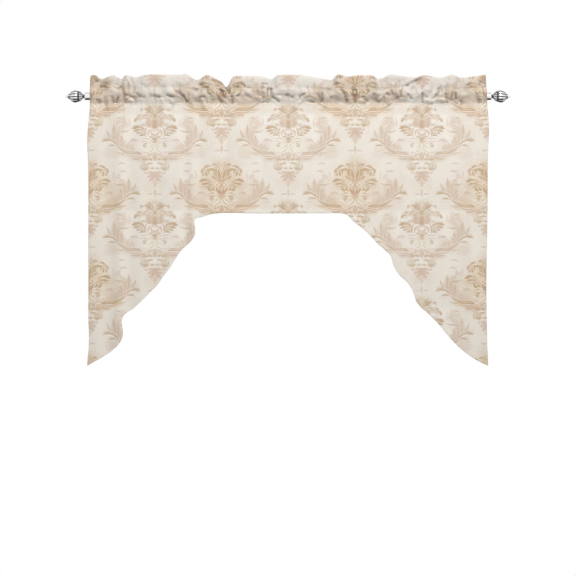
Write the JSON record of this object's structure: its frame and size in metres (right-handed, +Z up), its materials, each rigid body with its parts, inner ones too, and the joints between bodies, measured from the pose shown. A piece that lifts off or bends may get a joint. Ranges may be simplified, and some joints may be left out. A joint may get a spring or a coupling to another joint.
{
  "type": "swag and tail drape on its curtain rod",
  "caption": "Rod-pocket swag drape with a ruffled heading, a straight-cut centre and two long slanted tails, gathered on a plain round rod with fluted knob finials.",
  "frame": {"origin": "the rod's axis, half way along the rod", "axes": "+X along the rod, to the right as seen from the room; +Y from the room towards the window; +Z up"},
  "size_m": [1.3898, 0.0382, 0.911],
  "materials": {
    "printed_cloth": "matt woven polyester, cream with a tan damask print",
    "rod_steel": "plain satin steel tube",
    "finial_chrome": "bright plated"
  },
  "bodies": {
    "root": {"drape": "printed_cloth", "rod": "rod_steel", "collar_left": "finial_chrome", "collar_right": "finial_chrome", "finial_left": "finial_chrome", "finial_right": "finial_chrome"}
  },
  "joints": []
}
